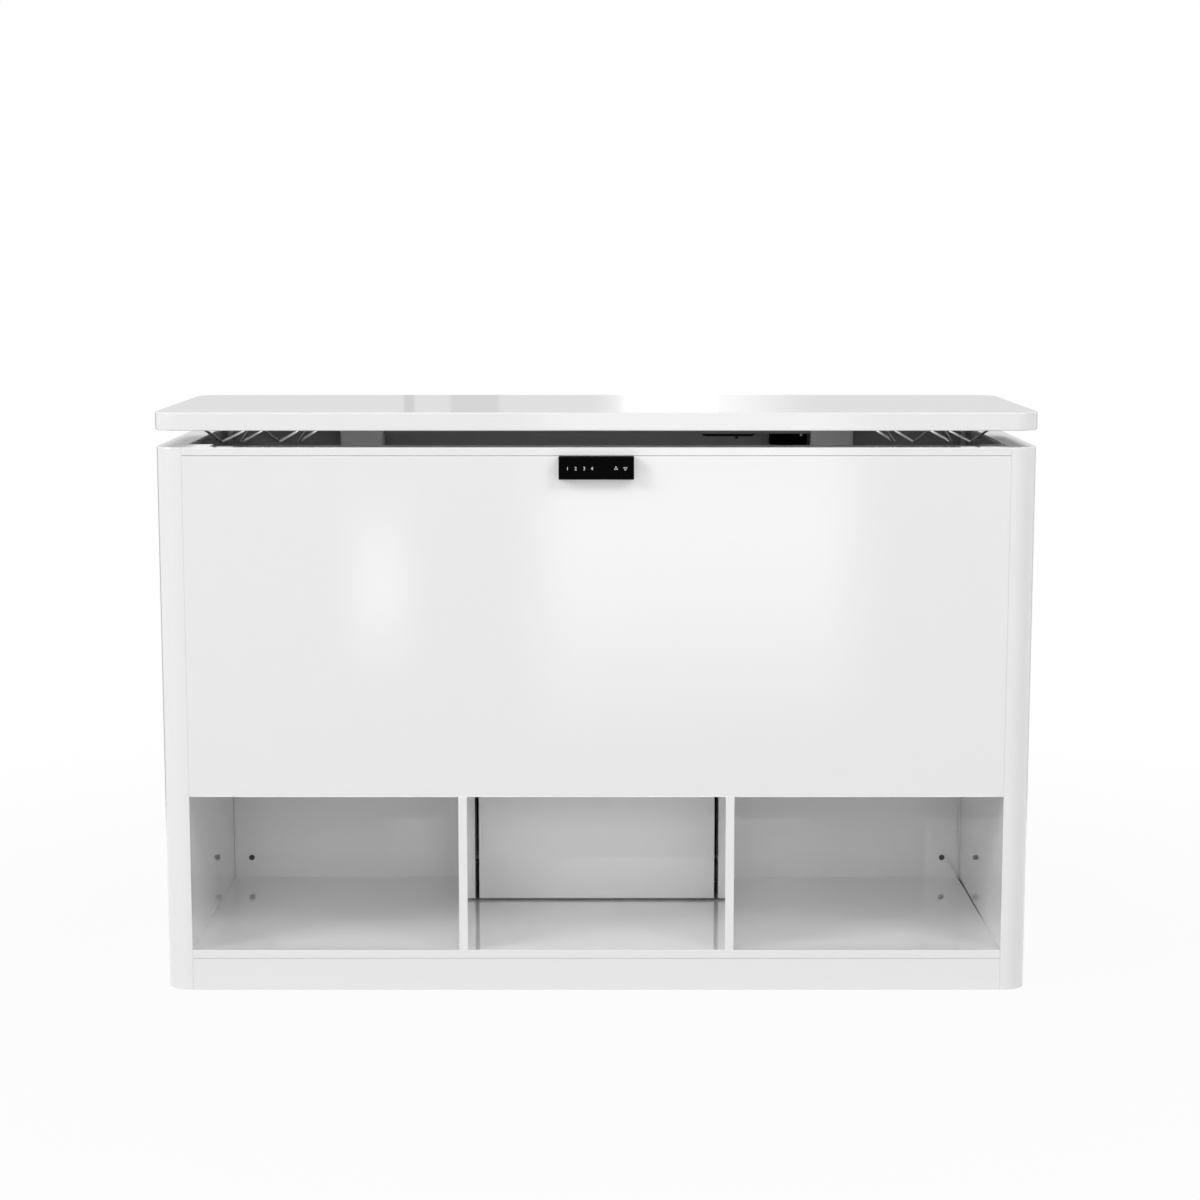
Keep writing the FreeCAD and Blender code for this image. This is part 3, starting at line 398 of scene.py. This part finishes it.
flat_card("rim_flag_left", RIM_FLAG_Z, (-0.810, -0.735), RIM_FLAG_DEPTH, level=0.43, fade=(0.44, 0.30))
flat_card("rim_flag_right", RIM_FLAG_Z, (0.735, 0.806), RIM_FLAG_DEPTH, level=0.25, fade=(0.42, 0.30))
card("front_glow_narrow", FRONT_GLOW_Y, (-0.65, -0.40), (0.20, 0.76), level=2.0, fade=(0.45, 0.50))

# %% [markdown]
# ## Shared effects
# No painted board is one flat colour: its tone drifts a little, its gloss is uneven, and spray leaves a
# fine ripple. Each effect is a node group, built once and placed in many finishes with its own values.
# The groups read Object coordinates, which are the cabinet's own metres, so a pattern keeps its true scale.

# %% Node groups
TONE_DETAIL = 3.0
GLOSS_DETAIL = 4.0
RELIEF_DETAIL = 2.0


def new_group(name, inputs, outputs):
    """An empty node group with named sockets; returns its tree, its inputs node and its outputs node."""
    tree = bpy.data.node_groups.new(name, "ShaderNodeTree")
    for label, kind, value in inputs:
        socket = tree.interface.new_socket(label, in_out="INPUT", socket_type=kind)
        socket.default_value = value
    for label, kind in outputs:
        tree.interface.new_socket(label, in_out="OUTPUT", socket_type=kind)
    return tree, add(tree, "NodeGroupInput"), add(tree, "NodeGroupOutput")


def group_noise(tree, size_socket, detail):
    """Noise on the cabinet's own metres, with spots of about the given size."""
    place = add(tree, "ShaderNodeTexCoord")
    per_metre = add(tree, "ShaderNodeMath", {0: 1.0}, operation="DIVIDE")
    noise = add(tree, "ShaderNodeTexNoise", {"Detail": detail})
    tree.links.new(size_socket, per_metre.inputs[1])
    tree.links.new(place.outputs["Object"], noise.inputs["Vector"])
    tree.links.new(per_metre.outputs[0], noise.inputs["Scale"])
    return noise.outputs[0]


def make_tone_drift():
    """A colour that gets darker in soft spots, by up to the given depth."""
    tree, given, put = new_group(
        "tone_drift",
        [("Colour", "NodeSocketColor", grey(0.8)), ("Depth", "NodeSocketFloat", 0.05),
         ("Size", "NodeSocketFloat", 0.1)],
        [("Colour", "NodeSocketColor")])
    dip = add(tree, "ShaderNodeMath", operation="MULTIPLY")
    keep = add(tree, "ShaderNodeMath", {0: 1.0}, operation="SUBTRACT")
    scale = add(tree, "ShaderNodeVectorMath", operation="SCALE")
    tree.links.new(group_noise(tree, given.outputs["Size"], TONE_DETAIL), dip.inputs[0])
    tree.links.new(given.outputs["Depth"], dip.inputs[1])
    tree.links.new(dip.outputs[0], keep.inputs[1])
    tree.links.new(given.outputs["Colour"], scale.inputs[0])
    tree.links.new(keep.outputs[0], scale.inputs["Scale"])
    tree.links.new(scale.outputs[0], put.inputs["Colour"])
    return tree


def make_gloss_drift():
    """A roughness that gets duller in soft spots, by up to the given spread."""
    tree, given, put = new_group(
        "gloss_drift",
        [("Roughness", "NodeSocketFloat", 0.2), ("Spread", "NodeSocketFloat", 0.05),
         ("Size", "NodeSocketFloat", 0.05)],
        [("Roughness", "NodeSocketFloat")])
    more = add(tree, "ShaderNodeMath", operation="MULTIPLY_ADD")
    tree.links.new(group_noise(tree, given.outputs["Size"], GLOSS_DETAIL), more.inputs[0])
    tree.links.new(given.outputs["Spread"], more.inputs[1])
    tree.links.new(given.outputs["Roughness"], more.inputs[2])
    tree.links.new(more.outputs[0], put.inputs["Roughness"])
    return tree


def make_fine_relief():
    """The height of a fine ripple, for a bump node."""
    tree, given, put = new_group(
        "fine_relief", [("Size", "NodeSocketFloat", 0.004)], [("Height", "NodeSocketFloat")])
    tree.links.new(group_noise(tree, given.outputs["Size"], RELIEF_DETAIL), put.inputs["Height"])
    return tree


GROUPS = {"tone": make_tone_drift(), "gloss": make_gloss_drift(), "relief": make_fine_relief()}
print("node groups:", [g.name for g in GROUPS.values()])

# %% [markdown]
# ## A finish from the shared effects
# Lacquer, laminate, powder coat and moulded plastic differ in colour, gloss and relief, but are built
# alike. One function takes those numbers and places the three groups, and a finish that needs more, such
# as two colours on one board, adds its own nodes afterwards.

# %% Finish builder
COAT_ROUGHNESS = 0.006
RELIEF_DEPTH = 0.0002


def place_group(tree, key, **inputs):
    """Places one of the shared groups, with its own values on the inputs that are named."""
    return add(tree, "ShaderNodeGroup", inputs, node_tree=GROUPS[key])


def finish(name, colour, roughness, drift=0.03, drift_size=0.2, spread=0.05, spread_size=0.05,
           relief=0.1, relief_size=0.004, metallic=0.0, specular=0.5, coat=0.0):
    """A material with drifting tone and gloss and a fine relief; sizes are in metres."""
    material, tree, shader = new_material(name)
    tone = place_group(tree, "tone", Colour=colour, Depth=drift, Size=drift_size)
    gloss = place_group(tree, "gloss", Roughness=roughness, Spread=spread, Size=spread_size)
    ripple = place_group(tree, "relief", Size=relief_size)
    bump = add(tree, "ShaderNodeBump", {"Strength": relief, "Distance": RELIEF_DEPTH})
    tree.links.new(tone.outputs["Colour"], shader.inputs["Base Color"])
    tree.links.new(gloss.outputs["Roughness"], shader.inputs["Roughness"])
    tree.links.new(ripple.outputs["Height"], bump.inputs["Height"])
    tree.links.new(bump.outputs["Normal"], shader.inputs["Normal"])
    shader.inputs["Metallic"].default_value = metallic
    shader.inputs["Specular IOR Level"].default_value = specular
    shader.inputs["Coat Weight"].default_value = coat
    shader.inputs["Coat Roughness"].default_value = COAT_ROUGHNESS
    return material


# %% [markdown]
# The frame names a material for each of its pieces. The sides, the front and the slab are white high gloss
# lacquer, which has a clear coat, and the chamber is lined with dark laminate. The columns are powder
# coated, the racks are bright wire, and the handset is black plastic round a black window. The rest is what
# such furniture has inside: raw wood, steel, bearing plastic and zinc screws. Each could have its own node
# tree, but they only differ in values, so a table holds those and a loop builds the finishes.

# %% Finishes of the frame
FINISH_VALUES = {
    "white_lacquer": dict(colour=grey(0.94), roughness=0.02, drift=0.012, drift_size=0.4, spread=0.02,
                          spread_size=0.08, relief=0.01, relief_size=0.02, coat=1.0),
    "dark_laminate": dict(colour=grey(0.25), roughness=0.42, drift=0.10, drift_size=0.02, spread=0.10,
                          spread_size=0.02, relief=0.1, relief_size=0.002),
    "raw_wood": dict(colour=(0.50, 0.36, 0.22, 1.0), roughness=0.6, drift=0.3, drift_size=0.02),
    "grey_paint": dict(colour=grey(0.62), roughness=0.42, drift=0.05, drift_size=0.05, spread=0.12,
                       spread_size=0.01, relief=0.25, relief_size=0.0012),
    "dark_paint": dict(colour=grey(0.20), roughness=0.45, drift=0.08, drift_size=0.03, spread=0.12,
                       spread_size=0.01, relief=0.25, relief_size=0.0012),
    "bright_wire": dict(colour=grey(0.85), roughness=0.30, drift=0.06, drift_size=0.01, spread=0.08,
                        spread_size=0.01, relief=0.02, relief_size=0.003, metallic=1.0),
    "black_plastic": dict(colour=grey(0.003), roughness=0.38, drift=0.2, drift_size=0.02, spread=0.12,
                          spread_size=0.004, relief=0.3, relief_size=0.0008, specular=0.012),
    "black_glass": dict(colour=grey(0.0015), roughness=0.05, drift=0.1, drift_size=0.05, spread=0.04,
                        spread_size=0.03, relief=0.01, specular=0.012),
    "black_metal": dict(colour=grey(0.02), roughness=0.35, drift=0.2, drift_size=0.02, spread=0.15,
                        spread_size=0.01, relief=0.2, relief_size=0.001),
    "cable_jacket": dict(colour=grey(0.010), roughness=0.5, drift=0.2, drift_size=0.01, spread=0.1,
                         relief=0.2, relief_size=0.001),
    "bearing_plastic": dict(colour=(0.70, 0.69, 0.65, 1.0), roughness=0.45, drift=0.05, drift_size=0.02),
    "machined_steel": dict(colour=grey(0.50), roughness=0.28, drift=0.15, drift_size=0.01, spread=0.15,
                           spread_size=0.004, metallic=1.0),
    "zinc_screw": dict(colour=grey(0.58), roughness=0.30, drift=0.15, drift_size=0.004, spread=0.2,
                       spread_size=0.003, metallic=1.0),
    "dark_cap": dict(colour=grey(0.06), roughness=0.35, drift=0.2, drift_size=0.004),
}
FINISHES = {name: finish(name, **values) for name, values in FINISH_VALUES.items()}

slot_of = {row["node"]: row["material_slot"] for row in frame["record"]["subparts"]}
for name, piece in nodes.items():
    piece.data.materials.clear()
    piece.data.materials.append(FINISHES[slot_of[name]])
print("finishes:", len(FINISHES), "on", len(nodes), "nodes")

# %% [markdown]
# Two pieces carry painted shade. The ends of the cleats are painted near black as the shade in the slits
# beside the service panel, and the top of the right corner post is painted dark grey as the slab's shadow on
# it. Extra pieces could do that, but to colour a part of a piece only needs a mask on the cabinet's own
# coordinates.

# %% Masks beyond a limit


def beyond(tree, axis, limit, both_sides):
    """One where a coordinate, or its size if both sides count, is above the limit."""
    place = add(tree, "ShaderNodeTexCoord")
    split = add(tree, "ShaderNodeSeparateXYZ")
    tree.links.new(place.outputs["Object"], split.inputs[0])
    value = split.outputs[axis]
    if both_sides:
        size = add(tree, "ShaderNodeMath", operation="ABSOLUTE")
        tree.links.new(value, size.inputs[0])
        value = size.outputs[0]
    above = add(tree, "ShaderNodeMath", {1: limit}, operation="GREATER_THAN")
    tree.links.new(value, above.inputs[0])
    return above.outputs[0]


def where_all(tree, limits):
    """One where every given coordinate is beyond its limit."""
    share = add(tree, "ShaderNodeValue").outputs[0]
    share.default_value = 1.0
    for limit in limits:
        both = add(tree, "ShaderNodeMath", operation="MULTIPLY")
        tree.links.new(share, both.inputs[0])
        tree.links.new(beyond(tree, *limit), both.inputs[1])
        share = both.outputs[0]
    return share


# %% Painted shade
SHADE_DULLNESS = 0.4
# Near black, painted on the cleat ends as the shade in the slits beside the service panel.
CLEAT_SLIT_SHADE = 0.012
CLEAT_SHOWS = 0.0005
# Dark grey, painted on the top of the right corner post as the slab's shadow that falls there.
POST_TOP_SHADE = 0.25
POST_TOP_DEPTH = 0.0003


def take_colour(tree, socket, share, colour):
    """Blends what feeds a colour socket towards another colour."""
    blend = add(tree, "ShaderNodeMixRGB", {"Color2": colour})
    tree.links.new(share, blend.inputs["Fac"])
    tree.links.new(socket.links[0].from_socket, blend.inputs["Color1"])
    tree.links.new(blend.outputs[0], socket)


def take_coat_off(tree, socket, share):
    """Leaves the clear coat only where the share is zero."""
    bare = add(tree, "ShaderNodeMath", {0: 1.0}, operation="SUBTRACT")
    left = add(tree, "ShaderNodeMath", {1: socket.default_value}, operation="MULTIPLY")
    tree.links.new(share, bare.inputs[1])
    tree.links.new(bare.outputs[0], left.inputs[0])
    tree.links.new(left.outputs[0], socket)


def make_dull(tree, socket, share):
    """Adds roughness where the share is one."""
    dull = add(tree, "ShaderNodeMath", {1: SHADE_DULLNESS}, operation="MULTIPLY_ADD")
    tree.links.new(share, dull.inputs[0])
    tree.links.new(socket.links[0].from_socket, dull.inputs[2])
    tree.links.new(dull.outputs[0], socket)


def painted_shade_copy(name, first, colour, limits):
    """A copy of a finish that is dull and has a painted shade colour beyond all the limits."""
    material = first.copy()
    material.name = name
    tree = material.node_tree
    sockets = tree.nodes["Principled BSDF"].inputs
    share = where_all(tree, limits)
    take_colour(tree, sockets["Base Color"], share, colour)
    take_coat_off(tree, sockets["Coat Weight"], share)
    make_dull(tree, sockets["Roughness"], share)
    return material


panel_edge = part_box("service_panel")[1].x
post_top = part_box("corner_posts")[1].z
# Painted shade: the cleat ends that show in the slits are painted near black.
cleat_wood_shaded_ends = painted_shade_copy("cleat_wood_shaded_ends", FINISHES["raw_wood"], grey(CLEAT_SLIT_SHADE),
                           [("X", panel_edge - CLEAT_SHOWS, True)])
# Painted shade: the top of the right corner post is painted dark grey, the left one stays white.
post_lacquer_shaded_top = painted_shade_copy("post_lacquer_shaded_top", FINISHES["white_lacquer"], grey(POST_TOP_SHADE),
                             [("X", 0.0, False), ("Z", post_top - POST_TOP_DEPTH, False)])
for name, material in (("service_panel_cleats", cleat_wood_shaded_ends), ("corner_posts", post_lacquer_shaded_top)):
    nodes[name].data.materials[0] = material
print("second colours:", cleat_wood_shaded_ends.name, post_lacquer_shaded_top.name)

# %% [markdown]
# ## Signs on the handset
# Six signs are printed in white on the black window: the memory places 1 to 4, and a triangle each for up
# and down. An image could carry them, but it would blur close up and be lost in another tool. Here the
# digits are outlines turned into meshes, and a triangle is a face with three corners that is inset and
# opened in its middle. All of them lie on the window, which sits a little behind the edge of its housing.

# %% Places of the signs
SIGN_LIFT = 0.00001
SIGN_THICK = 0.00006
SIGN_DROP = 0.00045
window_low, window_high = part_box("handset_window")
window_middle = (window_low + window_high) / 2
print_material = finish("white_print", grey(0.85), roughness=0.45, drift=0.03, drift_size=0.004, relief=0.02)


def sign_place(x):
    """Stands a flat sign on the window, at a distance from the window's middle."""
    y = window_low.y - SIGN_LIFT - SIGN_THICK / 2
    return Matrix.Translation((window_middle.x + x, y, window_middle.z - SIGN_DROP)) @ UPRIGHT


print("signs at height", round(window_middle.z - SIGN_DROP, 4))

# %% Digits
DIGITS = {"1": -0.0485, "2": -0.0349, "3": -0.0204, "4": -0.0074}
DIGIT_HEIGHT = 0.0056


def digit_piece(sign, x):
    """A digit as a flat mesh, stood upright on the window and centred on its place."""
    curve = bpy.data.curves.new("digit_outline", "FONT")
    curve.body = sign
    curve.extrude = SIGN_THICK / (2 * DIGIT_HEIGHT)
    holder = link(bpy.data.objects.new("digit_outline", curve))
    outline = holder.evaluated_get(bpy.context.evaluated_depsgraph_get()).to_mesh()
    shape = bmesh.new()
    shape.from_mesh(outline)
    bpy.data.objects.remove(holder)
    bpy.data.curves.remove(curve)
    corners = [v.co.copy() for v in shape.verts]
    low = Vector((min(c.x for c in corners), min(c.y for c in corners), 0))
    high = Vector((max(c.x for c in corners), max(c.y for c in corners), 0))
    scale = DIGIT_HEIGHT / (high.y - low.y)
    flat = Matrix.Diagonal((scale, scale, DIGIT_HEIGHT, 1.0))
    place = sign_place(x) @ flat @ Matrix.Translation(-(low + high) / 2)
    bmesh.ops.transform(shape, matrix=place, verts=shape.verts)
    return mesh_piece("sign_digit_" + sign, shape, print_material)


signs = [digit_piece(sign, x) for sign, x in DIGITS.items()]
print("digits:", {s.name: len(s.data.polygons) for s in signs})

# %% Triangles
TRIANGLES = {"up": (0.0331, 1.0), "down": (0.0489, -1.0)}
TRIANGLE_SIDE = 0.0068
TRIANGLE_BAR = 0.0007


def triangle_piece(name, x, way):
    """A hollow triangle that points up or down: three corners, inset, with the middle taken out."""
    shape = bmesh.new()
    reach = TRIANGLE_SIDE / math.sqrt(3)
    corners = []
    for turn in range(3):
        angle = way * math.pi / 2 + turn * math.tau / 3
        corners.append(shape.verts.new((reach * math.cos(angle), reach * math.sin(angle), 0)))
    face = shape.faces.new(corners)
    shape.normal_update()
    bmesh.ops.inset_individual(shape, faces=[face], thickness=TRIANGLE_BAR, use_even_offset=True)
    bmesh.ops.delete(shape, geom=[face], context="FACES_ONLY")
    raised = bmesh.ops.extrude_face_region(shape, geom=shape.faces[:])
    moved = [v for v in raised["geom"] if isinstance(v, bmesh.types.BMVert)]
    bmesh.ops.translate(shape, vec=(0, 0, SIGN_THICK), verts=moved)
    bmesh.ops.translate(shape, vec=(0, 0, -SIGN_THICK / 2), verts=shape.verts)
    bmesh.ops.recalc_face_normals(shape, faces=shape.faces)
    bmesh.ops.transform(shape, matrix=sign_place(x), verts=shape.verts)
    return mesh_piece("sign_" + name, shape, print_material)


signs += [triangle_piece(name, x, way) for name, (x, way) in TRIANGLES.items()]
for sign in signs:
    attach(sign, "cabinet")
print("signs on the cabinet:", {s.name: len(s.data.polygons) for s in signs})

# %% [markdown]
# ## Indicator lens
# Through the gap the photograph shows a pale point on the control box, near its upper right corner. It is
# taken for an indicator lens. It could be a painted dot, but a low button with a round rim catches light
# from any side.

# %% Indicator lens
LENS_INSET = (0.011, 0.0024)
LENS_RADIUS = 0.0022
LENS_HEIGHT = 0.0009
LENS_ROUND = 0.0005
ROUND_STEPS = 32
box_low, box_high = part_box("control_box")
shape = bmesh.new()
bmesh.ops.create_cone(shape, cap_ends=True, segments=ROUND_STEPS, radius1=LENS_RADIUS, radius2=LENS_RADIUS,
                      depth=LENS_HEIGHT)
rim = [e for e in shape.edges if all(v.co.z > 0 for v in e.verts)]
bmesh.ops.bevel(shape, geom=rim, offset=LENS_ROUND, segments=4, profile=0.5, affect="EDGES", material=-1)
lens_x = box_high.x - LENS_INSET[0]
lens_z = box_high.z - LENS_INSET[1]
place = Matrix.Translation((lens_x, box_low.y - LENS_HEIGHT / 2, lens_z))
bmesh.ops.transform(shape, matrix=place @ UPRIGHT, verts=shape.verts)
lens_material = finish("indicator_lens", grey(0.45), roughness=0.25, drift=0.05, drift_size=0.002)
lens = mesh_piece("control_box_lens", shape, lens_material)
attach(lens, "lift_unit")
print("lens faces:", len(lens.data.polygons))

# %% [markdown]
# ## Cable tie
# The photograph also shows a dark lump on the motor cable, left of the control box, which is taken for a
# cable tie. A plain ring would do from afar. A real tie is a flat band with a thicker lock, so a small
# oblong is spun round the cable for the band, and a box with rounded edges hangs below it for the lock.

# %% Band of the cable tie
TIE_BEFORE_BOX = 0.063
TIE_WIDTH = 0.0042
TIE_THICK = 0.0011
TIE_FIT = 0.0001
cable_low, cable_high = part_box("motor_cable")
cable_radius = (cable_high.y - cable_low.y) / 2
inner = cable_radius + TIE_FIT
outer = inner + TIE_THICK
half = TIE_WIDTH / 2
corners = [(-half, inner), (half, inner), (half, outer), (-half, outer)]
shape = bmesh.new()
ring = [shape.verts.new((x, 0, z)) for x, z in corners]
loop = [shape.edges.new((ring[i], ring[(i + 1) % 4])) for i in range(4)]
bmesh.ops.spin(shape, geom=ring + loop, cent=(0, 0, 0), axis=(1, 0, 0), angle=math.tau, steps=ROUND_STEPS,
               use_merge=True)
print("band faces:", len(shape.faces), "corners:", len(shape.verts))

# %% Lock of the cable tie
TIE_LOCK = (0.0052, 0.0044, 0.0036)
TIE_ROUND = 0.0004
lock = bmesh.ops.create_cube(shape, size=1.0)["verts"]
bmesh.ops.scale(shape, vec=TIE_LOCK, verts=lock)
bmesh.ops.translate(shape, vec=(0, 0, -outer - TIE_LOCK[2] / 2 + TIE_THICK / 2), verts=lock)
edges = list({e for v in lock for e in v.link_edges})
bmesh.ops.bevel(shape, geom=edges, offset=TIE_ROUND, segments=2, profile=0.5, affect="EDGES", material=-1)
bmesh.ops.recalc_face_normals(shape, faces=shape.faces)
cable_y = (cable_high.y + cable_low.y) / 2
tie_place = Vector((box_low.x - TIE_BEFORE_BOX, cable_y, cable_low.z + cable_radius))
bmesh.ops.translate(shape, vec=tie_place, verts=shape.verts)
tie = mesh_piece("cable_tie", shape, FINISHES["cable_jacket"])
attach(tie, "lift_unit")
print("tie faces:", len(tie.data.polygons), "at height", round(tie_place.z, 4))
